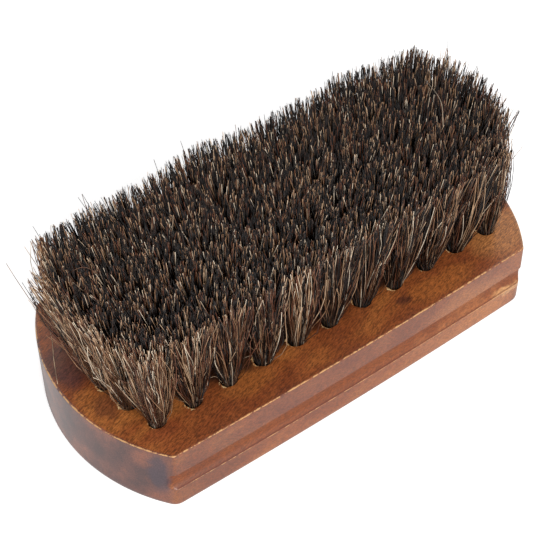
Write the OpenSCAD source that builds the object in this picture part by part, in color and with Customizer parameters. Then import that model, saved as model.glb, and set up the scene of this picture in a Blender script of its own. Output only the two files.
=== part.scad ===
// Shoe shine brush: a varnished wooden block with finger grooves, drilled for 55 tufts of horsehair.
// It lies on its back, bristles up. The origin is the middle of the back, and X runs along the block.

/* [Block] */
// Length over the two arc ends
block_l = 130; // [116:1:144]
// Width between the corners
block_w = 59.5; // [54:0.5:66]
// Thickness from the back to the bristle face
block_t = 20; // [18:0.5:24]
// How far each long side bows out at its middle
side_bow = 0.8; // [0.4:0.1:1.6]
// How far each arc end stands out past its corners
end_bulge = 10.6; // [8:0.2:14]
// Radius of the sanded edge round the back
back_round = 1.8; // [0.8:0.1:2.6]
// Width of the eased edge round the bristle face
face_ease = 0.3; // [0.1:0.1:0.8]
// Depth sanded off each upright corner
corner_ease = 0.3; // [0.1:0.1:0.9]

/* [Finger grooves] */
// Height of the groove from lip to lip
groove_h = 5.6; // [4:0.2:7]
// Depth of the groove below the long side
groove_depth = 1.4; // [0.8:0.1:2.2]

/* [Tuft holes] */
// Rows of tufts across the block
rows = 5; // [3:1:5]
// Tufts in each row
columns = 11; // [7:1:11]
// Distance from the near long side to the first row of holes
near_margin = 11.1; // [10:0.1:13]
// Distance from the last row of holes to the far long side
far_margin = 14.8; // [12:0.1:16]
// Distance from the last hole of the middle row to the tip of the arc end
end_margin = 10.6; // [8.6:0.5:13.1]
// Diameter of each blind hole
hole_d = 4.4; // [3.8:0.1:5]
// Depth of each blind hole
hole_depth = 11; // [9:0.5:13]

/* [Bristles] */
// Height of the tips above the bristle face
bristle_h = 30; // [22:1:38]
// How far the tips reach past the last holes, lengthwise
end_flare = 8.6; // [6:0.2:11]
// How far the tips reach past the outer rows, crosswise
side_flare = 8.2; // [6:0.2:10]
// Height of the packed hair above its hole, where it starts to fan out
trunk_h = 1.5; // [0.8:0.1:3]
// How far the packed hair swells above its hole
trunk_swell = 0.35; // [0.2:0.05:0.6]
// Thickness of one lock of hair
lock_d = 1.1; // [0.7:0.05:1.15]
// How unevenly the tips are cut
ragged = 1; // [0:0.1:1.6]
// Clearance round the packed hair in its hole
hair_gap = 0.05; // [0.02:0.01:0.1]

/* [Staples] */
// Diameter of the staple wire
wire_d = 0.7; // [0.5:0.05:0.9]
// Distance between the two legs of a staple
leg_span = 2.4; // [2:0.1:2.6]
// Depth of the legs in the wood under the hole
leg_depth = 4.5; // [3:0.25:5.5]
// Height of the straight part of the legs above the hole's floor
crown_rise = 1.2; // [0.8:0.1:2]
// Clearance of the legs in the wood
drive_gap = 0.03; // [0.02:0.01:0.06]
// Clearance of the wire in the hair folded over it
fold_gap = 0.1; // [0.05:0.05:0.2]

/* [Hidden] */
$fn = 64;
over = 1; // how far a cutter reaches past the face that it cuts
corner_x = block_l / 2 - end_bulge;
side_r = (corner_x ^ 2 + side_bow ^ 2) / (2 * side_bow);
side_centre_y = side_r - block_w / 2 - side_bow;
end_r = ((block_w / 2) ^ 2 + end_bulge ^ 2) / (2 * end_bulge);
end_centre_x = block_l / 2 - end_r;
// Half the angle between the two faces that meet at a corner, seen from above
corner_turn = (-90 + asin(corner_x / side_r) - asin(block_w / 2 / end_r)) / 2;
corner_cut_w = 10;
groove_z = block_t / 2;
groove_squareness = 4; // a higher power gives the groove a flatter floor and tighter corners
groove_steps = 6;
round_steps = 6;
side_flats = 5;
hole_floor_z = block_t - hole_depth;
row_pitch = (block_w - near_margin - far_margin) / (rows - 1);
middle_row = (rows + 1) / 2;
middle_y = (near_margin - far_margin) / 2; // the rows sit a little nearer to one long side
plug_d = hole_d - 2 * hair_gap;
trunk_d = plug_d + 2 * trunk_swell;
leg_point = wire_d * 1.6; // length of the ground point of a leg
// Nine locks a tuft: one in the middle and eight round it
ring_locks = 8;
root_ring_r = 0.7 * plug_d / 2;
tip_fill = 0.78; // share of its cell that a tuft's tips fill
diagonal_reach = 1.25; // the tips fill a square cell, so the locks on its diagonals reach further out
lock_sink = 0.4; // how deep a lock is rooted in the packed hair
lock_levels = [0, 0.35, 0.8];
lock_taper = [0.9, 1, 0.8];
lock_sides = 3;
flare = 1.15; // above 1, a lock leaves its hole upright and bends outward higher up
wander = 0.35; // largest sideways shift of a tip from its place

function tuft_name(r, c) = str("tuft_r", r, "_c", c < 10 ? "0" : "", c);

// Row 1 is the near row, column 1 the left one. The last holes lie on an arc like the block's end.
function row_from_middle(r) = (r - middle_row) * row_pitch;
function row_y(r) = middle_y + row_from_middle(r);
function arc_x(y) = end_centre_x + sqrt(end_r ^ 2 - y ^ 2);
function row_reach(r) = arc_x(row_from_middle(r)) - end_margin;
function row_step(r) = 2 * row_reach(r) / (columns - 1);
function tuft_x(r, c) = row_reach(r) * (2 * (c - 1) / (columns - 1) - 1);
function tuft_place(r, c) = [tuft_x(r, c), row_y(r)];

// Edge profile of the block, as distance inward from its side and height above its back
back_arc = [
    for (i = [0:round_steps])
        let (a = 90 * i / round_steps)
            [back_round * (1 - sin(a)), back_round * (1 - cos(a))]
];
groove_line = [
    for (i = [-groove_steps:groove_steps])
        let (t = i / groove_steps)
            [groove_depth * (1 - abs(t) ^ groove_squareness), groove_z + t * groove_h / 2]
];
face_edge = [[0, block_t - face_ease], [face_ease, block_t]];

// Everything on the inner side of the near long side, with its groove. The bow is so slight
// that straight flats follow it, each laid along the arc where it touches.
module side_limit() {
    reach = block_w + 4 * side_bow;
    length = 2 * block_l;
    turn = 2 * asin(corner_x / side_r) / side_flats;
    intersection_for (i = [-(side_flats - 1) / 2:(side_flats - 1) / 2])
        translate([0, side_centre_y, 0])
            rotate([0, 0, i * turn])
                translate([-length / 2, -side_r, 0])
                    rotate([90, 0, 90])
                        linear_extrude(length)
                            polygon(concat(back_arc, groove_line, face_edge, [[reach, block_t], [reach, 0]]));
}

// Everything on the inner side of the right arc end. Its profile runs on past the back and
// the face, so that only the sides set those two planes.
module end_limit() {
    profile = concat(
        [[end_r, -over], [back_round + over, -over]],
        back_arc,
        face_edge,
        [[face_ease + over, block_t + over], [end_r, block_t + over]]
    );
    translate([end_centre_x, 0, 0])
        rotate_extrude($fn = 256)
            polygon([for (p = profile) [end_r - p.x, p.y]]);
    translate([-block_l, -block_w, -over])
        cube([block_l + end_centre_x, 2 * block_w, block_t + 2 * over]);
}

module corner_cut() {
    translate([corner_x, -block_w / 2, -over])
        rotate([0, 0, corner_turn])
            translate([-corner_ease, -corner_cut_w / 2, 0])
                cube([corner_cut_w, corner_cut_w, block_t + 2 * over]);
}

module block() {
    color("#8f5233")
        difference() {
            intersection() {
                side_limit();
                mirror([0, 1, 0]) side_limit();
                end_limit();
                mirror([1, 0, 0]) end_limit();
            }
            for (mx = [0, 1], my = [0, 1])
                mirror([mx, 0, 0]) mirror([0, my, 0]) corner_cut();
            for (r = [1:rows], c = [1:columns])
                translate(tuft_place(r, c)) {
                    translate([0, 0, hole_floor_z]) cylinder(d = hole_d, h = hole_depth + over);
                    translate([0, 0, hole_floor_z]) legs(drive_gap, over);
                }
        }
}

// The two pointed legs of a staple, from the floor of its hole down, carried up by rise
module legs(gap, rise) {
    leg_d = wire_d + 2 * gap;
    for (s = [-1, 1])
        translate([0, s * leg_span / 2, 0]) {
            translate([0, 0, leg_point - leg_depth]) cylinder(d = leg_d, h = leg_depth - leg_point + rise);
            translate([0, 0, -leg_depth - gap]) cylinder(d1 = leg_d / 4, d2 = leg_d, h = leg_point + gap);
        }
}

// A bent wire staple on the floor of its hole, grown by gap all round to cut its own way
module staple(gap) {
    legs(gap, crown_rise);
    translate([0, 0, crown_rise])
        rotate([90, 0, 90])
            rotate_extrude(angle = 180)
                translate([leg_span / 2, 0]) circle(d = wire_d + 2 * gap, $fn = 32);
}

module staples() {
    color("#a9abad")
        for (r = [1:rows], c = [1:columns])
            translate(concat(tuft_place(r, c), hole_floor_z)) staple(0);
}

// Where lock k of a tuft stands in its ring, as a share of the ring: lock 0 is the middle one
function ring_place(k) = k == 0 ? [0, 0] : [cos(360 * k / ring_locks), sin(360 * k / ring_locks)];
function cell_place(k) = ring_place(k) * (k % 2 == 1 ? diagonal_reach : 1);

// The field of tips is the field of holes, moved to the block's middle and spread until it reaches
// past the outer holes by the flare
spread_x = (row_reach(middle_row) + end_flare) / (row_reach(middle_row) + row_step(middle_row) / 2);
spread_y = (row_from_middle(rows) + side_flare) / (row_from_middle(rows) + row_pitch / 2);

function lock_root(r, c, k) =
    let (p = tuft_place(r, c) + root_ring_r * ring_place(k))
        [p.x, p.y, block_t + trunk_h - lock_sink];
function lock_tip(r, c, k, chance) =
    let (
        p = tuft_place(r, c),
        cell = tip_fill * [row_step(r), row_pitch] / 2,
        u = cell_place(k)
    ) [
        spread_x * (p.x + cell.x * u.x) + wander * chance[0],
        spread_y * (p.y - middle_y + cell.y * u.y) + wander * chance[1],
        block_t + bristle_h - ragged * abs(chance[2])
    ];
function lock_mid(root, tip, s) = [
    root.x + (tip.x - root.x) * s ^ flare,
    root.y + (tip.y - root.y) * s ^ flare,
    root.z + (tip.z - root.z) * s
];
function lock_ring(centre, r, turn) = [
    for (i = [0:lock_sides - 1])
        let (a = turn + 360 * i / lock_sides)
            centre + r * [cos(a), sin(a), 0]
];
function lock_points(root, tip, turn) = concat(
    [
        for (j = [0:len(lock_levels) - 1])
            each lock_ring(lock_mid(root, tip, lock_levels[j]), lock_taper[j] * lock_d / 2, turn)
    ],
    [tip]
);
// Triangles of one lock, whose points start at number n: its root, its sides and its pointed tip
function lock_faces(n) =
    let (rings = len(lock_levels), last = n + (rings - 1) * lock_sides)
        concat(
            [[for (i = [0:lock_sides - 1]) n + i]],
            [
                for (j = [0:rings - 2], i = [0:lock_sides - 1])
                    let (
                        low = n + j * lock_sides,
                        next = (i + 1) % lock_sides,
                        a = low + i,
                        b = low + next,
                        up = lock_sides
                    )
                        each [[a, a + up, b + up], [a, b + up, b]]
            ],
            [for (i = [0:lock_sides - 1]) [last + i, last + lock_sides, last + (i + 1) % lock_sides]]
        );

module locks(r, c) {
    chances = rands(-1, 1, 4 * (ring_locks + 1), 100 * r + c);
    points_per_lock = len(lock_levels) * lock_sides + 1;
    polyhedron(
        points = [
            for (k = [0:ring_locks])
                let (chance = [for (i = [0:3]) chances[4 * k + i]])
                    each lock_points(lock_root(r, c, k), lock_tip(r, c, k, chance), 180 * chance[3])
        ],
        faces = [for (k = [0:ring_locks]) each lock_faces(k * points_per_lock)]
    );
}

// Hair folded over its staple and packed into the hole, with the locks that fan out of it
module tuft(r, c) {
    color(c % 2 == 0 ? "#2b211b" : "#33271f") {
        translate(concat(tuft_place(r, c), hole_floor_z))
            difference() {
                cylinder(d = plug_d, h = hole_depth);
                staple(fold_gap);
            }
        translate(concat(tuft_place(r, c), block_t))
            cylinder(d1 = plug_d, d2 = trunk_d, h = trunk_h);
        locks(r, c);
    }
}

block();
for (r = [1:rows], c = [1:columns])
    tuft(r, c);
staples();
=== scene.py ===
"""Shoe shine brush lying on its back, bristles up: a stained wooden block, its staples and 55 tufts of horsehair."""

import math

import bmesh
import bpy
import numpy as np
from mathutils import Matrix, Quaternion, Vector


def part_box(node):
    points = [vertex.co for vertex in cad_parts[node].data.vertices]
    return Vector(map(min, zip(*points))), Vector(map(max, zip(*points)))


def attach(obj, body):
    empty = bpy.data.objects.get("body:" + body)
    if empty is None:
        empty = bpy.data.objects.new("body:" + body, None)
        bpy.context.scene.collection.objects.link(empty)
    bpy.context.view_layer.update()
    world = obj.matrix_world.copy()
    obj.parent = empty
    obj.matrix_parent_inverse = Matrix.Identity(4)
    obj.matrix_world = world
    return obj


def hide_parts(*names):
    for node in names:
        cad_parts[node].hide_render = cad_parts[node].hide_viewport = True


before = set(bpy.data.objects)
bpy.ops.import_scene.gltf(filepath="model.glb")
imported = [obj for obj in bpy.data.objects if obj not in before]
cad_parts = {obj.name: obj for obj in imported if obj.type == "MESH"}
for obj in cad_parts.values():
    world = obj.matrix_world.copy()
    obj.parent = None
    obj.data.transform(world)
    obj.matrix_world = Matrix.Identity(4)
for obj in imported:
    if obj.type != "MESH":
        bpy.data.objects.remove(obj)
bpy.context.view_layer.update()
mm = 0.001

# The block: one piece of close-grained hardwood, sawn to an outline with two arc ends. A cutter runs a finger
# groove along each long side and out through the ends, and 55 blind holes are drilled in its face.
# Its edges are eased by sanding, then it is stained reddish brown and thinly varnished.
block_low, block_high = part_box("block")
block_l = block_high.x - block_low.x
face_z = block_high.z
corner_w = 59.5 * mm
end_bulge = 10.6 * mm
side_bow = (block_high.y - block_low.y - corner_w) / 2
back_round = 1.8 * mm
face_ease = 0.28 * mm
groove_z = face_z / 2
groove_h = 5.6 * mm
groove_depth = 1.4 * mm
groove_squareness = 4
corner_round = 0.5 * mm
corner_round_at_back = 1.6 * mm
side_steps = 40
corner_steps = 6
end_steps = 28

corner_x = block_l / 2 - end_bulge
side_r = (corner_x**2 + side_bow**2) / (2 * side_bow)
end_r = ((corner_w / 2) ** 2 + end_bulge**2) / (2 * end_bulge)
end_centre = Vector((block_l / 2 - end_r, 0))
side_centre = Vector((0, side_r - corner_w / 2 - side_bow))

rows = 5
columns = 11
near_margin = 11.1 * mm
far_margin = 14.8 * mm
end_margin = 10.6 * mm
row_pitch = (corner_w - near_margin - far_margin) / (rows - 1)
middle_y = (near_margin - far_margin) / 2
hole_r = 2.2 * mm
hole_depth = 11 * mm
hole_steps = 24


def from_middle(row):
    return (row - (rows + 1) / 2) * row_pitch


def row_reach(row):
    """How far along the block the last hole of a row is: the last holes lie on an arc like the block's end."""
    return end_centre.x + math.sqrt(end_r**2 - from_middle(row) ** 2) - end_margin


def hole_place(row, column):
    return Vector((row_reach(row) * (2 * (column - 1) / (columns - 1) - 1), middle_y + from_middle(row)))


def near_right_quarter(side_inset, end_inset, rounding):
    """The block's outline from the middle of the near side to the middle of the right end, corner rounded."""
    side = side_r - side_inset
    end = end_r - end_inset
    between = end_centre - side_centre
    along = (side**2 - end**2 + between.length_squared) / (2 * between.length)
    across = Vector((-between.y, between.x)).normalized() * math.sqrt(side**2 - along**2)
    corner = side_centre + between.normalized() * along + across
    if corner.y > 0:
        corner -= 2 * across
    side_turn = math.asin(corner.x / side) - rounding / side
    end_turn = math.asin(-corner.y / end) - rounding / end
    shape = [
        side_centre + side * Vector((math.sin(t), -math.cos(t)))
        for t in (side_turn * i / side_steps for i in range(side_steps + 1))
    ]
    last = end_centre + end * Vector((math.cos(end_turn), -math.sin(end_turn)))
    for i in range(1, corner_steps):
        t = i / corner_steps
        shape.append((1 - t) ** 2 * shape[side_steps] + 2 * t * (1 - t) * corner + t**2 * last)
    for i in range(end_steps + 1):
        t = end_turn * (1 - i / end_steps)
        shape.append(end_centre + end * Vector((math.cos(t), -math.sin(t))))
    return shape


def block_outline(side_inset, end_inset, rounding):
    """The whole outline, as four mirrored quarters that share their end points."""
    right = near_right_quarter(side_inset, end_inset, rounding)
    right += [Vector((p.x, -p.y)) for p in reversed(right[:-1])]
    return right + [Vector((-p.x, p.y)) for p in reversed(right[1:-1])]


def quarter_place(i):
    """Where point i of the outline lies along its quarter, from 0 at the side's middle to quarter_steps."""
    i %= 2 * quarter_steps
    return min(i, 2 * quarter_steps - i)


quarter_steps = side_steps + corner_steps + end_steps
# How far each edge is rubbed pale, from 0 to 1, and how far the wear fades beside it. On the groove's lips the
# pale line is also a painted highlight.
back_wear, low_lip_wear_and_glint, high_lip_wear_and_glint = 0.2, 0.95, 0.55
face_edge_wear = (0.5, 1, 1, 0.9)
wear_fade = 0.4 * mm
face_wear_fade = 0.5 * mm
dark_line_below = -0.93  # below this the groove is darker, along its lower corner; the groove's own lips are at -1 and 1
# Each level: height, inset of the whole edge, depth of the groove, wear (on the groove's lips also painted
# highlight), whether it belongs to the groove, and whether it lies in the darker line along the groove's lower corner
levels = [(0, back_round + 1.5 * mm, 0, 0, False, 0)]
for i in range(6):
    a = math.radians(90 * i / 5)
    levels.append((back_round * (1 - math.cos(a)), back_round * (1 - math.sin(a)), 0, back_wear, False, 0))
lip_low, lip_high = groove_z - groove_h / 2, groove_z + groove_h / 2
levels += [
    (back_round + 2 * wear_fade, 0, 0, 0, False, 0),
    (lip_low - wear_fade, 0, 0, 0, True, 0),
    (lip_low - 0.15 * mm, 0, 0, low_lip_wear_and_glint, True, 0),
    (lip_low, 0, 0, low_lip_wear_and_glint, True, 0),
]
for t in (-0.97, -0.9, -0.7, -0.4, 0, 0.4, 0.7, 0.88, 0.96):
    cut = groove_depth * (1 - abs(t) ** groove_squareness)
    levels.append((groove_z + t * groove_h / 2, 0, cut, 0, True, t < dark_line_below))
levels += [
    (lip_high, 0, 0, high_lip_wear_and_glint, True, 0),
    (lip_high + 0.1 * mm, 0, 0, high_lip_wear_and_glint, True, 0),
    (lip_high + wear_fade, 0, 0, 0, True, 0),
    (face_z - 1.1 * mm, 0, 0, 0, False, 0),
    (face_z - face_ease - 0.15 * mm, 0, 0, 0, False, 0),
]
for i, wear in enumerate(face_edge_wear):
    a = math.radians(90 * i / 3)
    levels.append((face_z - face_ease * (1 - math.sin(a)), face_ease * (1 - math.cos(a)), 0, wear, False, 0))
levels.append((face_z, face_ease + face_wear_fade, 0, 0, False, 0))

# Where the long sides meet the ends: how far the corner is rubbed, how fast that fades to both sides of it, and
# over how many points of the outline the end's own look comes in
corner_wear, corner_wear_fade = 0.5, 1.5
end_blend_steps = 4
side_varnish, end_varnish = 0.5, 0.5

bm = bmesh.new()
place = bm.verts.layers.int.new("place")
wear_and_glint = bm.verts.layers.float.new("wear_and_glint")
grooved = bm.verts.layers.float.new("grooved")
dark_line = bm.verts.layers.float.new("dark_line")
endwise = bm.verts.layers.float.new("endwise")
varnished = bm.verts.layers.float.new("varnished")
torn = bm.verts.layers.float.new("torn")
ring = bmesh.ops.create_circle(bm, segments=4 * quarter_steps, radius=1)["verts"]
for i, v in enumerate(ring):
    v[place] = i
edges = list(bm.edges)
for n, (z, inset, groove, wear, of_groove, in_dark_line) in enumerate(levels):
    if n:
        raised = bmesh.ops.extrude_edge_only(bm, edges=edges)["geom"]
        edges = [g for g in raised if isinstance(g, bmesh.types.BMEdge) and g.is_boundary]
        ring = [g for g in raised if isinstance(g, bmesh.types.BMVert)]
    rounding = corner_round + (corner_round_at_back - corner_round) * (1 - z / face_z) ** 2
    outline = block_outline(inset + groove, inset, rounding)
    for v in ring:
        past_side = quarter_place(v[place]) - side_steps
        from_corner = abs(past_side - corner_steps / 2) / corner_steps
        on_side = past_side <= 1
        v.co = outline[v[place]].to_3d() + Vector((0, 0, z))
        v[wear_and_glint] = max(wear * (on_side or not of_groove), corner_wear * max(0, 1 - corner_wear_fade * from_corner))
        v[grooved] = on_side * (groove > 0)
        v[dark_line] = on_side * in_dark_line
        round_corner = min(1, max(0, (past_side - corner_steps / 2) / end_blend_steps))
        below_face = n < len(levels) - 1
        v[endwise] = below_face * round_corner
        v[varnished] = below_face * (side_varnish * (groove == 0) * (1 - round_corner) + end_varnish * round_corner)
rim = edges

# The drill tears fibres out at each hole's rim, most at the side where it cuts against the grain. A ring of
# faces round each hole carries the tear, so that it stays close to the rim.
chance = np.random.default_rng(7)
ring_out = 1.3 * mm
tear_from, tear_to = 145, 220  # degrees, so on the left of a hole seen from above
tear_least, tear_most = 0.15, 0.8  # mm
torn_least = 0.5
hole_no = bm.verts.layers.int.new("hole_no")
ring_edges = []
for n in range(rows * columns):
    centre = hole_place(n // columns + 1, n % columns + 1)
    made = bmesh.ops.create_circle(
        bm,
        segments=hole_steps,
        radius=hole_r + ring_out,
        matrix=Matrix.Translation(centre.to_3d() + Vector((0, 0, face_z))),
    )["verts"]
    for v in made:
        v[hole_no] = n
    ring_edges += {e for v in made for e in v.link_edges}
bmesh.ops.triangle_fill(bm, edges=rim + ring_edges, use_beauty=True)
tear_at = np.radians(chance.uniform(tear_from, tear_to, rows * columns))
tear = chance.uniform(tear_least, tear_most, rows * columns) * mm
for out_by, raw, z in (
    (0.55 * mm, 0.5, face_z),
    (0, 1, face_z - 0.08 * mm),
    (0, 0.3, face_z - 0.5 * mm),
    (0, 0, face_z - hole_depth),
):
    sunk = bmesh.ops.extrude_edge_only(bm, edges=ring_edges)["geom"]
    ring_edges = [g for g in sunk if isinstance(g, bmesh.types.BMEdge) and g.is_boundary]
    for v in (g for g in sunk if isinstance(g, bmesh.types.BMVert)):
        n = v[hole_no]
        centre = hole_place(n // columns + 1, n % columns + 1)
        out = (v.co.to_2d() - centre).normalized()
        toward = max(0, math.cos(math.atan2(out.y, out.x) - tear_at[n])) ** 3
        reach = hole_r + out_by + raw * (tear[n] * toward * chance.uniform(0.3, 1.2) + 0.1 * mm * chance.random())
        v.co = (centre + out * reach).to_3d() + Vector((0, 0, z))
        v[torn] = toward * raw * (torn_least + tear[n] / mm)
bmesh.ops.holes_fill(bm, edges=[e for e in bm.edges if e.is_boundary], sides=0)
bmesh.ops.recalc_face_normals(bm, faces=bm.faces)
sharp_from = math.radians(35)
for face in bm.faces:
    face.smooth = True
for edge in bm.edges:
    edge.smooth = not edge.is_manifold or edge.calc_face_angle() < sharp_from
block = bpy.data.meshes.new("varnished_block")
bm.to_mesh(block)
bm.free()


def show_piece(name, mesh, material, slot_name, *nodes):
    """Puts a finished mesh in the scene, riding on the brush. It stands for the given CAD nodes."""
    piece = bpy.data.objects.new(name, mesh)
    bpy.context.scene.collection.objects.link(piece)
    mesh.materials.append(material)
    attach(piece, "root")
    if nodes:
        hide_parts(*nodes)


def colour(code):
    """An sRGB hex colour as linear RGBA."""
    parts = [int(code[i : i + 2], 16) / 255 for i in (1, 3, 5)]
    return [c / 12.92 if c <= 0.04045 else ((c + 0.055) / 1.055) ** 2.4 for c in parts] + [1]


def add(tree, kind, inputs=None, stops=None, **settings):
    """Adds a node with its settings. Each input takes a value or the output that it reads."""
    node = tree.nodes.new(kind)
    for name, value in settings.items():
        setattr(node, name, value)
    for i, (at, shade) in enumerate(stops or []):
        stop = node.color_ramp.elements[i] if i < 2 else node.color_ramp.elements.new(at)
        stop.position = at
        stop.color = colour(shade) if isinstance(shade, str) else [shade, shade, shade, 1]
    for socket, value in (inputs or {}).items():
        if isinstance(value, bpy.types.NodeSocket):
            tree.links.new(value, node.inputs[socket])
        else:
            node.inputs[socket].default_value = value
    return node


def new_material(name):
    """An empty node material and its surface shader, already linked to the output."""
    material = bpy.data.materials.new(name)
    material.use_nodes = True
    tree = material.node_tree
    tree.nodes.clear()
    shader = add(tree, "ShaderNodeBsdfPrincipled")
    add(tree, "ShaderNodeOutputMaterial", {"Surface": shader.outputs[0]})
    return material, tree, shader


# Stained hardwood under a thin satin varnish: orange brown with short dark flecks along the grain, cloudy where
# the stain went in unevenly, purplish on the end grain, glossier on the sides than on the face, rubbed pale along
# the edges, and raw and straw coloured where the drill tore it. Some colour is painted light: a highlight in the
# pale line along the groove's lips, shade between the tufts and under the hair, and light along the long side.
stained_wood, tree, shader = new_material("stained_varnished_hardwood")
fleck_l, fleck_w = 1.3 * mm, 0.34 * mm
cloud_l, cloud_w = 15 * mm, 8 * mm
speck = 0.3 * mm
rub = 1.3 * mm
splinter_l, splinter_w = 0.9 * mm, 0.45 * mm
patch_rag = 5 * mm
grain_turn = math.radians(18)  # the board's grain runs a little across the block
groove_tint, end_tint, dark_line_tint = 0.75, 0.9, 0.7
splinter_gain = 1.6
# Patches laid over the wood: where the stain took unevenly, and, as marked, painted light and shade. Each gives the
# middle and half size in mm, the colour, its strength, and, for some, how soft the edge is as a share of the half
# size
patch_reach, soft_edge = 0.9, 0.3
patches = [
    ((-59.5, 8.5, 20), (6, 7.5, 4), "#40242a", 0.75),
    ((-61.0, -3.0, 20), (2.6, 4, 3), "#a8652f", 0.5),
    # Painted shadow of the overhanging hair, on the face by the left end
    ((-58.5, -7.5, 20), (3, 4, 3), "#5c2f22", 0.5),
    ((-52, -22, 20), (5, 3, 3), "#8a4424", 0.5),
    ((-27, -22.5, 20), (9, 4, 3), "#b0692f", 0.5),
    ((30, -26, 20), (12, 3.5, 3), "#b56a30", 0.55),
    ((18.4, -24.6, 20), (2.4, 1.5, 2), "#54291a", 0.8),
    ((54, -22, 20), (11, 8, 4), "#c0804a", 0.7),
    ((50.2, -30.2, 7), (5.5, 2, 1.1), "#dba870", 0.9),
    ((-57.2, -26.6, 12.5), (3.2, 3.0, 8), "#42303c", 0.85),
    # The long side: darker along its upper band, and, as painted light, darker to the left and paler to the right
    ((0, -31.2, 16.4), (75, 2.6, 6), "#5f3026", 0.35),
    ((-46, -31.5, 10), (18, 3.5, 14), "#6e3a24", 0.5),
    ((40, -31.5, 7), (26, 3.0, 14), "#bd7846", 0.45),
    # Painted shade between the tufts, where the hair shadows the wood
    *(((x, -1.8, 20), (33, 18.9, 4), "#24130e", 0.9, 0.09) for x in (-22, 0, 22)),
]


def texture_space(origin, turn, size, middle=(0, 0, 0)):
    """Coordinates in which a pattern of the given real size, turned about Z, is one unit large."""
    return add(
        tree,
        "ShaderNodeMapping",
        {"Vector": origin, "Location": middle, "Rotation": (0, 0, turn), "Scale": size},
        vector_type="TEXTURE",
    ).outputs[0]


def laid_over(under, over, cover, blend="MIX"):
    """One colour over another, where cover is a share or the output that gives it."""
    return add(tree, "ShaderNodeMix", {0: cover, 6: under, 7: over}, data_type="RGBA", blend_type=blend).outputs[2]


def mark(name):
    return add(tree, "ShaderNodeAttribute", attribute_name=name).outputs["Fac"]


here = add(tree, "ShaderNodeTexCoord").outputs["Object"]
flecks = add(
    tree,
    "ShaderNodeTexNoise",
    {
        "Vector": texture_space(here, grain_turn, (fleck_l, fleck_w, fleck_w)),
        "Scale": 1,
        "Detail": 3,
        "Roughness": 0.65,
        "Distortion": 0.5,
    },
)
clouds = add(
    tree,
    "ShaderNodeTexNoise",
    {"Vector": texture_space(here, grain_turn, (cloud_l, cloud_w, cloud_w)), "Scale": 1, "Detail": 3},
)
specks = add(tree, "ShaderNodeTexNoise", {"Vector": here, "Scale": 1 / speck, "Detail": 2, "Roughness": 0.6})
wood = add(
    tree,
    "ShaderNodeValToRGB",
    {"Fac": clouds.outputs["Fac"]},
    stops=[(0.32, "#82411f"), (0.68, "#ae6832"), (0.5, "#965127")],
).outputs[0]
groove_mark = mark("grooved")
groove_cover = add(tree, "ShaderNodeMath", {0: groove_mark, 1: groove_tint}, operation="MULTIPLY")
wood = laid_over(wood, colour("#82421b"), groove_cover.outputs[0])
end_mark = mark("endwise")
end_cover = add(tree, "ShaderNodeMath", {0: end_mark, 1: end_tint}, operation="MULTIPLY")
end_tone = add(
    tree,
    "ShaderNodeValToRGB",
    {"Fac": clouds.outputs["Fac"]},
    stops=[(0.35, "#482c2c"), (0.65, "#864c38"), (0.5, "#643a33")],
)
wood = laid_over(wood, end_tone.outputs[0], end_cover.outputs[0])
rags = add(tree, "ShaderNodeTexNoise", {"Vector": here, "Scale": 1 / patch_rag, "Detail": 3})
ragged_here = add(
    tree,
    "ShaderNodeVectorMath",
    {0: rags.outputs["Color"], 1: (patch_rag,) * 3, 2: here},
    operation="MULTIPLY_ADD",
).outputs[0]
for middle, half, shade, strength, *edge in patches:
    edge = edge[0] if edge else soft_edge
    middle = [c * mm + patch_rag / 2 for c in middle]
    away = add(
        tree,
        "ShaderNodeVectorMath",
        {0: texture_space(ragged_here, 0, [h * mm for h in half], middle)},
        operation="LENGTH",
    ).outputs["Value"]
    cover = add(
        tree,
        "ShaderNodeMapRange",
        {"Value": away, "From Min": patch_reach + edge, "From Max": patch_reach - edge, "To Max": strength},
        interpolation_type="SMOOTHSTEP",
    )
    wood = laid_over(wood, colour(shade), cover.outputs[0])
fleck_tone = add(tree, "ShaderNodeValToRGB", {"Fac": flecks.outputs["Fac"]}, stops=[(0.38, 0.45), (0.6, 1.2)])
varnish_mark = mark("varnished")
smooth_mark = add(tree, "ShaderNodeMath", {0: varnish_mark, 1: groove_mark}, operation="MAXIMUM").outputs[0]
fleck_cover = add(
    tree, "ShaderNodeMapRange", {"Value": smooth_mark, "From Max": 0.6, "To Min": 1.0, "To Max": 0.6}
)
wood = laid_over(wood, fleck_tone.outputs[0], fleck_cover.outputs[0], "MULTIPLY")
speck_tone = add(tree, "ShaderNodeValToRGB", {"Fac": specks.outputs["Fac"]}, stops=[(0.3, 0.8), (0.7, 1.15)])
wood = laid_over(wood, speck_tone.outputs[0], 1.0, "MULTIPLY")
# Darker along the groove's lower corner, just above its lower lip
dark_line_cover = add(tree, "ShaderNodeMath", {0: mark("dark_line"), 1: dark_line_tint}, operation="MULTIPLY")
wood = laid_over(wood, colour("#561d10"), dark_line_cover.outputs[0])
# Pale rubbed edges; along the groove's lips the pale line is also a painted highlight
rubs = add(tree, "ShaderNodeTexNoise", {"Vector": here, "Scale": 1 / rub, "Detail": 4, "Roughness": 0.7})
wear_and_glint_share = add(tree, "ShaderNodeMath", {0: mark("wear_and_glint"), 1: rubs.outputs["Fac"]}, operation="MULTIPLY")
wear_and_glint_cover = add(
    tree, "ShaderNodeMapRange", {"Value": wear_and_glint_share.outputs[0], "From Min": 0.41, "From Max": 0.52, "To Max": 0.85}
)
wood = laid_over(wood, colour("#d8a368"), wear_and_glint_cover.outputs[0])
splinters = add(
    tree,
    "ShaderNodeTexNoise",
    {"Vector": texture_space(here, grain_turn, (splinter_l, splinter_w, splinter_w)), "Scale": 1, "Detail": 3},
)
torn_share = add(
    tree, "ShaderNodeMath", {0: splinters.outputs["Fac"], 1: splinter_gain, 2: mark("torn")}, operation="MULTIPLY_ADD"
).outputs[0]
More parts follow.
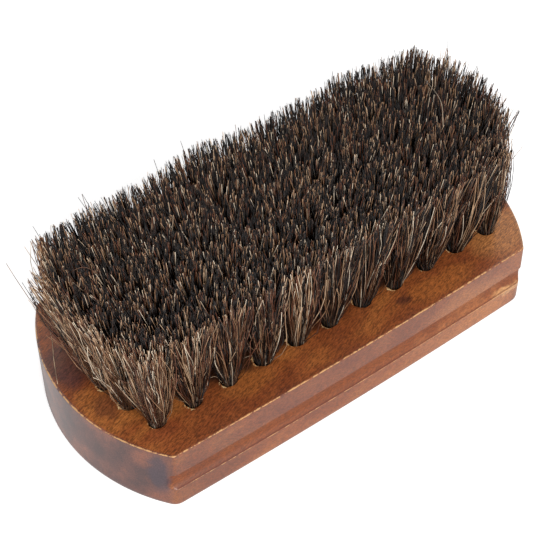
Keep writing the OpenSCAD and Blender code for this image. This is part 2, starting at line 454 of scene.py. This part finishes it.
torn_cover = add(tree, "ShaderNodeMapRange", {"Value": torn_share, "From Min": 1.3, "From Max": 1.45})
torn_tone = add(
    tree, "ShaderNodeValToRGB", {"Fac": splinters.outputs["Fac"]}, stops=[(0.4, "#b8682e"), (0.6, "#ecc892")]
)
wood = laid_over(wood, torn_tone.outputs[0], torn_cover.outputs[0])
tree.links.new(wood, shader.inputs["Base Color"])
pores = add(tree, "ShaderNodeBump", {"Height": flecks.outputs["Fac"], "Strength": 0.25, "Distance": 0.05 * mm})
tree.links.new(pores.outputs[0], shader.inputs["Normal"])
gloss = add(tree, "ShaderNodeMapRange", {"Value": varnish_mark, "To Min": 0.45, "To Max": 0.25})
tree.links.new(gloss.outputs[0], shader.inputs["Roughness"])
varnish = add(tree, "ShaderNodeMapRange", {"Value": varnish_mark, "To Min": 0.15, "To Max": 1.0})
tree.links.new(varnish.outputs[0], shader.inputs["Coat Weight"])
shader.inputs["IOR"].default_value = 1.5
shader.inputs["Coat Roughness"].default_value = 0.2
show_piece("varnished_block", block, stained_wood, "stained_wood", "block")

# The staples: 55 short pieces of hard drawn steel wire, each bent over a hank of hair and driven through the
# floor of its hole. They stay as the CAD made them, out of sight under the hair.
drawn_wire, tree, shader = new_material("hard_drawn_steel_wire")
die_line = 0.05 * mm
here = add(tree, "ShaderNodeTexCoord").outputs["Object"]
lines = add(tree, "ShaderNodeTexNoise", {"Vector": here, "Scale": 1 / die_line, "Detail": 2})
steel = add(
    tree, "ShaderNodeValToRGB", {"Fac": lines.outputs["Fac"]}, stops=[(0.3, "#8d8f92"), (0.7, "#b9bbbd")]
)
tree.links.new(steel.outputs[0], shader.inputs["Base Color"])
shader.inputs["Metallic"].default_value = 1
shader.inputs["Roughness"].default_value = 0.35
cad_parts["staples"].data.materials.clear()
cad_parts["staples"].data.materials.append(drawn_wire)

# The tufts: each is a hank of natural horsehair, folded over its staple and driven into its hole, so that both
# halves stand up out of it. They fan out as they leave the wood, and the tips are trimmed level.
# A hair is a thin three-sided tube, drawn a little thick, at 0.2 mm, so that it shows.
bristle_h = 30 * mm
end_flare = 8.6 * mm
side_flare = 8.2 * mm
packed_r = 2.08 * mm
hair_r = 0.105 * mm
hairs = 620
locks = 60
shades = 40
hank_pitch = 3  # how far apart the straight hairs of a hank lie before they are bent, in hair radii
hank_marks = ("hair_no", "level_no", "side_no")
hair_heights = np.array([-0.1, 0.02, 0.2, 0.4, 0.6, 0.8, 1.0])
hair_taper = np.array([1.0, 1.0, 1.0, 1.0, 0.95, 0.85, 0.6])
middle_row = (rows + 1) / 2
middle_reach = row_reach(middle_row)
spread = np.array(
    [
        (middle_reach + end_flare) / (middle_reach * columns / (columns - 1)),
        (from_middle(rows) + side_flare) / (from_middle(rows) + row_pitch / 2),
    ]
)
# The field of tips is not quite even: places where it leans out or in, the shift and how far it reaches, in mm
leans = [
    ((-61, 24), (2.4, -2.0), 9),
    ((-63, 12), (-2.4, 0), 8),
    ((-62, 0), (-1.6, 0), 14),
    ((-8, 25), (0, 2.4), 8),
    ((36, 25), (0, 1.6), 8),
    ((56, 26), (0.5, -2.0), 9),
    ((62, 14), (4.0, 0.8), 10),
    ((64, 2), (3.6, 0), 9),
    ((62, -10), (2.6, 0), 8),
    ((60, -25), (-5.4, 1.2), 9),
]
# How far the tips of a tuft mix with those of the next ones: 1 is not at all. Those of the outer rows mix less.
inner_mixing, outer_mixing = 1.3, 1.08
cell_corner = 0.75  # the cell of tips that a tuft fills: square at 0.71, round at 1
tip_scatter = 0.14
edge_least = 0.93
wild_share, wild_reach, wild_limit = 0.05, 3.0 * mm, 4 * mm
cling_shape = (1.5, 1.2)
trim_spread = 0.8 * mm
short_share, short_outside, short_least, short_most = 0.15, 0.3, 0.55, 0.97
flare_middle, flare_spread, flare_least = 1.16, 0.2, 0.75
bend_sizes = (1.1 * mm, 0.5 * mm)  # a bow from root to tip, and an S
# The shades run from 0 to 1. This is the share of dark hairs and the part of the range that they fill, and how
# the others are spread over the rest. Hair on the outside of the field, most of all over a few columns at the left
# end, is made paler: painted light, where the light falls on the field's sides.
dark_share, dark_span = 0.72, 0.34
pale_ranks, pale_shades = [0, 0.42, 0.85, 1], [0.4, 0.63, 0.88, 1]
outside_gain, outside_from = 1.6, 0.2
painted_light_outside, painted_light_left, painted_light_first_column, painted_lighter_left, left_columns = 0.25, 0.2, 0.18, 0.06, 3


def make_hank(name, count, levels):
    """A hank of straight three-sided hairs side by side, and the hair, level and side that each point belongs to."""
    bm = bmesh.new()
    hair_no, level_no, side_no = (bm.verts.layers.int.new(layer) for layer in hank_marks)
    for n in range(count):
        made = bmesh.ops.create_circle(
            bm, cap_ends=True, segments=3, radius=1, matrix=Matrix.Translation((hank_pitch * n, 0, 0))
        )["verts"]
        for k, v in enumerate(made):
            v[hair_no] = n
            v[side_no] = k
    ends = list(bm.faces)
    for level in range(1, levels):
        grown = bmesh.ops.extrude_face_region(bm, geom=ends)["geom"]
        ends = [g for g in grown if isinstance(g, bmesh.types.BMFace)]
        for v in (g for g in grown if isinstance(g, bmesh.types.BMVert)):
            v.co.z = level
            v[level_no] = level
    bmesh.ops.recalc_face_normals(bm, faces=bm.faces)
    for face in bm.faces:
        face.smooth = True
    mesh = bpy.data.meshes.new(name)
    bm.to_mesh(mesh)
    bm.free()
    hank = {"mesh": mesh}
    for layer in hank_marks:
        hank[layer] = np.zeros(len(mesh.vertices), np.int32)
        mesh.attributes[layer].data.foreach_get("value", hank[layer])
    for layer in hank_marks:
        mesh.attributes.remove(mesh.attributes[layer])
    hank["around"] = np.array([v.co for v in mesh.vertices])[:, :2]
    hank["around"][:, 0] -= hank_pitch * hank["hair_no"]
    hank["corners"] = np.zeros(len(mesh.loops), np.int32)
    mesh.loops.foreach_get("vertex_index", hank["corners"])
    return hank


def bend_hank(hank, points, radius, axis, shade):
    """A copy of the hank with its hairs laid along the given points, and each hair in one shade column of a map.
    The map's height runs from root to tip. The axis is any direction that no hair runs along."""
    mesh = hank["mesh"].copy()
    along = np.gradient(points, axis=1)
    first = np.cross(along, axis)
    first /= np.linalg.norm(first, axis=2, keepdims=True)
    second = np.cross(along, first)
    second /= np.linalg.norm(second, axis=2, keepdims=True)
    hair, level, side = hank["hair_no"], hank["level_no"], hank["side_no"]
    around = hank["around"] * radius[level][:, None]
    co = points[hair, level] + around[:, :1] * first[hair, level] + around[:, 1:] * second[hair, level]
    mesh.vertices.foreach_set("co", co.astype(np.float32).ravel())
    # The three sides stand apart on the map, so that every face has an area there
    across = np.array([0.15, 0.5, 0.85])[side]
    u = (np.floor(np.minimum(shade, 0.999) * shades)[hair] + across) / shades
    v = level / level.max() * 0.96 + 0.02 * (side == 1)
    layer = mesh.uv_layers.new(name="OFBake")
    layer.data.foreach_set("uv", np.stack([u, v], 1)[hank["corners"]].astype(np.float32).ravel())
    mesh.update()
    return mesh


def fan(chance, row, column):
    """The points of every hair of a tuft, from its root in the hole to its tip."""
    centre = np.array(hole_place(row, column))
    turn = chance.uniform(0, 2 * np.pi, hairs)
    heading = np.stack([np.cos(turn), np.sin(turn)], 1)
    outward = np.sqrt(chance.uniform(0, 1, hairs))[:, None] * heading
    # The tips fill a cell of the field and mix with those of the next tufts, but not past the field's edge
    mixing = outer_mixing if row in (1, rows) else inner_mixing
    cell = spread * [2 * row_reach(row) / (columns - 1), row_pitch] / 2
    reach = outward / np.maximum(np.abs(heading).max(1), cell_corner)[:, None]
    scatter = chance.normal(0, tip_scatter * mixing, (hairs, 2))
    tip = spread * (centre - [0, middle_y]) + cell * (mixing * reach + scatter)
    edge = spread * [row_reach(row) * columns / (columns - 1), row_pitch * rows / 2]
    past = np.abs(tip) - edge * chance.uniform(edge_least, 1.0, (hairs, 2))
    tip -= np.sign(tip) * np.maximum(past, 0)
    for at, shift, far in leans:
        near = np.exp(-((tip - np.array(at) * mm) ** 2).sum(1) / (far * mm) ** 2)
        tip += near[:, None] * np.array(shift) * mm
    wild = chance.random(hairs) < wild_share
    tip[wild] += np.clip(chance.normal(0, wild_reach, (wild.sum(), 2)), -wild_limit, wild_limit)
    # Hairs cling together in small locks towards the tip
    lock_at = tip[chance.integers(0, hairs, locks)]
    nearest = np.argmin(((tip[:, None] - lock_at[None]) ** 2).sum(2), 1)
    cling = chance.beta(*cling_shape, hairs)[:, None] * (lock_at[nearest] - tip)
    # The longest hairs were trimmed level. Some never reached that far, most of them on the outside.
    height = bristle_h - np.abs(chance.normal(0, trim_spread, hairs))
    short = chance.random(hairs) < short_share + short_outside * np.linalg.norm(outward, axis=1) ** 3
    height[short] *= chance.uniform(short_least, short_most, short.sum())
    cling *= (height / bristle_h)[:, None] ** 3
    leave = centre + packed_r * outward
    flare = np.maximum(chance.normal(flare_middle, flare_spread, hairs), flare_least)
    bends = [
        np.abs(chance.normal(0, size, hairs))[:, None] * np.stack([np.cos(to), np.sin(to)], 1)
        for size, to in zip(bend_sizes, chance.uniform(0, 2 * np.pi, (2, hairs)))
    ]
    points = np.zeros((hairs, len(hair_heights), 3))
    for i, h in enumerate(hair_heights):
        share = max(h, 0)
        sway = bends[0] * math.sin(math.pi * share) + bends[1] * math.sin(2 * math.pi * share)
        points[:, i, :2] = leave + (tip - leave) * (share ** flare)[:, None] + cling * share**3 + sway
        points[:, i, 2] = face_z + height * h
    return points, outward


def hair_shades(chance, row, column, outward):
    """Each hair's place in the range of shades, from black to pale: its own colour, made paler on the outside of the
    field, most of all at the left end, as painted light where light falls on the field's sides."""
    sides = ((column == 1, -outward[:, 0]), (column == columns, outward[:, 0]), (row == 1, -outward[:, 1]))
    outside = np.max([shown * np.maximum(lean, 0) for shown, lean in sides], 0)
    # Painted light: the outside of the field, most of all at the left end, gets more pale hair
    at_left = math.exp((1 - column) / left_columns)
    paler = painted_light_outside + painted_light_left * at_left + painted_light_first_column * (column == 1)
    dark = dark_share - paler * np.minimum(outside * outside_gain, 1)
    rank = chance.random(hairs)
    light = np.interp((rank - dark) / (1 - dark), pale_ranks, pale_shades)
    light += painted_lighter_left * at_left * (outside > outside_from)
    return np.where(rank < dark, dark_span * rank / dark, light)


# Natural horsehair, combed and washed but not dyed: black and dark brown, with single grey, tan, red and straw
# coloured hairs, and a slight gloss. The map's width picks the hair's own shade, its height runs along the hair.
horsehair, tree, shader = new_material("natural_horsehair")
band = 0.12
on_map = add(tree, "ShaderNodeUVMap", uv_map="OFBake").outputs[0]
parts = add(tree, "ShaderNodeSeparateXYZ", {0: on_map})
own_shade = add(
    tree,
    "ShaderNodeValToRGB",
    {"Fac": parts.outputs["X"]},
    stops=[
        (0.0, "#0c0908"),
        (1.0, "#ecdcc4"),
        (0.3, "#1a1210"),
        (0.45, "#3b271e"),
        (0.55, "#6e3e28"),
        (0.65, "#7a553e"),
        (0.78, "#a27b5a"),
        (0.9, "#c6a482"),
    ],
)
# Painted shade: each hair is darkened towards its root, where the tuft shades itself near the wood; the cut tips are
# paler
shaded_root_to_pale_tip = add(
    tree,
    "ShaderNodeValToRGB",
    {"Fac": parts.outputs["Y"]},
    stops=[(0.08, 0.16), (0.985, 1.3), (0.28, 0.45), (0.55, 1.0), (0.9, 1.0)],
)
hair = laid_over(own_shade.outputs[0], shaded_root_to_pale_tip.outputs[0], 1.0, "MULTIPLY")
bands_at = add(tree, "ShaderNodeMapping", {"Vector": on_map, "Scale": (shades, 1 / band, 1)})
bands = add(tree, "ShaderNodeTexNoise", {"Vector": bands_at.outputs[0], "Scale": 1, "Detail": 1})
band_tone = add(tree, "ShaderNodeValToRGB", {"Fac": bands.outputs["Fac"]}, stops=[(0.3, 0.75), (0.7, 1.2)])
hair = laid_over(hair, band_tone.outputs[0], 1.0, "MULTIPLY")
tree.links.new(hair, shader.inputs["Base Color"])
shader.inputs["Roughness"].default_value = 0.42
shader.inputs["IOR"].default_value = 1.45

hank = make_hank("hank", hairs, len(hair_heights))
for row in range(1, rows + 1):
    for column in range(1, columns + 1):
        chance = np.random.default_rng(100 * row + column)
        points, outward = fan(chance, row, column)
        shade = hair_shades(chance, row, column, outward)
        mesh = bend_hank(hank, points, hair_r * hair_taper, (1, 0, 0), shade)
        node = f"tuft_r{row}_c{column:02d}"
        show_piece(f"hair_r{row}_c{column:02d}", mesh, horsehair, "horsehair", node)

# The loose hairs: a few that came out when the tufts were trimmed and combed, lying on the wood or caught in
# the field. Each is drawn through a few points in mm, with its shade.
loose_steps, loose_tip = 16, 0.7
loose_paths = [
    (0.92, [(-54.4, 26.3, 22.0), (-57.5, 17.7, 20.4), (-60.7, 11.6, 20.2), (-64.0, 4.6, 20.2)]),
    (0.1, [(-54.0, 14.2, 23.0), (-55.6, 13.6, 21.0), (-57.2, 13.3, 20.4), (-58.6, 12.5, 20.2)]),
    (0.7, [(-58.0, 8.0, 34.0), (-63.4, 10.0, 42.0), (-64.0, 16.1, 45.0), (-62.8, 24.4, 44.5)]),
    (0.6, [(-55.0, 9.5, 48.0), (-54.1, 8.2, 50.0), (-51.4, 7.3, 50.2), (-49.6, 4.7, 49.0)]),
    (0.62, [(-49.7, -19.0, 33.0), (-48.8, -21.1, 29.0), (-49.3, -21.6, 25.5), (-50.5, -20.6, 22.0)]),
    (0.8, [(-46.1, -16.5, 23.0), (-43.4, -19.0, 21.2), (-39.9, -21.2, 22.0)]),
    (0.86, [(-37.5, -17.0, 23.5), (-35.5, -17.6, 22.9), (-33.9, -17.9, 22.4), (-33.0, -19.5, 20.6)]),
    (0.9, [(-27.4, -18.3, 24.0), (-23.5, -18.3, 22.9), (-21.1, -20.9, 20.8)]),
    (0.88, [(-8.1, -16.9, 36.0), (-6.5, -19.8, 40.0), (-2.7, -22.6, 37.0)]),
    (0.95, [(41.6, -23.2, 40.0), (43.6, -24.0, 44.0), (46.2, -24.5, 50.0)]),
    (0.93, [(52.5, 9.7, 50.8), (49.9, 0.6, 51.2), (45.4, -5.8, 49.5)]),
]


def through(corners, steps):
    """Evenly timed points on a smooth curve through the given ones."""
    corners = np.array(corners)
    times = np.linspace(0, len(corners) - 1, steps)
    slopes = np.gradient(corners, axis=0)
    before = np.minimum(times.astype(int), len(corners) - 2)
    t = (times - before)[:, None]
    a, b = corners[before], corners[before + 1]
    rise = t * t * (3 - 2 * t)
    return a + (b - a) * rise + slopes[before] * t * (1 - t) ** 2 - slopes[before + 1] * t * t * (1 - t)


points = np.stack([through(path, loose_steps) for shade, path in loose_paths]) * mm
shade = np.array([shade for shade, path in loose_paths])
radius = hair_r * np.linspace(1, loose_tip, loose_steps)
mesh = bend_hank(make_hank("loose_hank", len(loose_paths), loose_steps), points, radius, (0, 0, 1), shade)
show_piece("loose_hairs", mesh, horsehair, "horsehair")

# The floor: a plain pale sweep. It lights the brush from below as pale paper does, and shows white, with the
# brush's own soft shadow on it.
floor_half = 4.0
floor_lift = 0.5
bm = bmesh.new()
bmesh.ops.create_grid(bm, x_segments=1, y_segments=1, size=floor_half)
mesh = bpy.data.meshes.new("floor")
bm.to_mesh(mesh)
bm.free()
floor = bpy.data.objects.new("floor", mesh)
bpy.context.scene.collection.objects.link(floor)
pale_paper = bpy.data.materials.new("pale_studio_paper")
pale_paper.use_nodes = True
tree = pale_paper.node_tree
tree.nodes.clear()
ray = add(tree, "ShaderNodeLightPath")
lit = add(tree, "ShaderNodeBsdfDiffuse", {"Color": colour("#e6e6e6")})
seen = add(tree, "ShaderNodeBsdfDiffuse", {"Color": colour("#f4f4f4")})
lift = add(tree, "ShaderNodeEmission", {"Color": (1, 1, 1, 1), "Strength": floor_lift})
bright = add(tree, "ShaderNodeAddShader", {0: seen.outputs[0], 1: lift.outputs[0]})
paper = add(tree, "ShaderNodeMixShader", {0: ray.outputs["Is Camera Ray"], 1: lit.outputs[0], 2: bright.outputs[0]})
add(tree, "ShaderNodeOutputMaterial", {"Surface": paper.outputs[0]})
mesh.materials.append(pale_paper)

# The light: a white room that also shows in the varnish, and one large soft lamp in front, high up. The room
# lights the brush less than it shows, so that it looks white and doesn't wash out the wood.
room_lights, room_shows = 0.58, 1.0
world = bpy.data.worlds.new("white_room")
bpy.context.scene.world = world
world.use_nodes = True
tree = world.node_tree
tree.nodes.clear()
ray = add(tree, "ShaderNodeLightPath")
glossy, through_glass = ray.outputs["Is Glossy Ray"], ray.outputs["Is Transmission Ray"]
mirrored = add(tree, "ShaderNodeMath", {0: glossy, 1: through_glass}, operation="MAXIMUM")
direct = add(tree, "ShaderNodeMath", {0: mirrored.outputs[0], 1: ray.outputs["Is Camera Ray"]}, operation="MAXIMUM")
glow = add(tree, "ShaderNodeMapRange", {"Value": direct.outputs[0], "To Min": room_lights, "To Max": room_shows})
sky = add(tree, "ShaderNodeBackground", {"Color": (1, 1, 1, 1), "Strength": glow.outputs[0]})
add(tree, "ShaderNodeOutputWorld", {"Surface": sky.outputs[0]})

lamp_azimuth, lamp_height, lamp_distance, lamp_size, lamp_watts = -20, 36, 0.9, 0.5, 6.2
lamp = bpy.data.objects.new("soft_lamp", bpy.data.lights.new("soft_lamp", "AREA"))
lamp.data.shape = "DISK"
lamp.data.size = lamp_size
lamp.data.energy = lamp_watts
bpy.context.scene.collection.objects.link(lamp)


def looking_back(azimuth, elevation):
    """The direction from the brush to a viewer, with azimuth 0 in front of the near side, in degrees."""
    a, e = math.radians(azimuth), math.radians(elevation)
    return Vector((math.sin(a) * math.cos(e), -math.cos(a) * math.cos(e), math.sin(e)))


lamp_back = looking_back(lamp_azimuth, lamp_height)
lamp.location = lamp_back * lamp_distance
lamp.rotation_mode = "QUATERNION"
lamp.rotation_quaternion = (-lamp_back).to_track_quat("-Z", "Y")

# The camera: a long lens from the near left, above, as the photograph was taken.
view_azimuth, view_elevation, view_roll = -36.667, 46.844, -0.63
view_target = Vector((4.026, 11.189, 10.0)) * mm
view_distance = 426.357 * mm
focal_px, frame_px = 1634.8, 540
camera = bpy.data.objects.new("camera", bpy.data.cameras.new("camera"))
camera.data.lens = camera.data.sensor_width * focal_px / frame_px
bpy.context.scene.collection.objects.link(camera)
camera_back = looking_back(view_azimuth, view_elevation)
camera.location = view_target + camera_back * view_distance
camera.rotation_mode = "QUATERNION"
camera.rotation_quaternion = (-camera_back).to_track_quat("-Z", "Y") @ Quaternion((0, 0, 1), math.radians(view_roll))
bpy.context.scene.camera = camera
bpy.context.scene.view_settings.view_transform = "Standard"
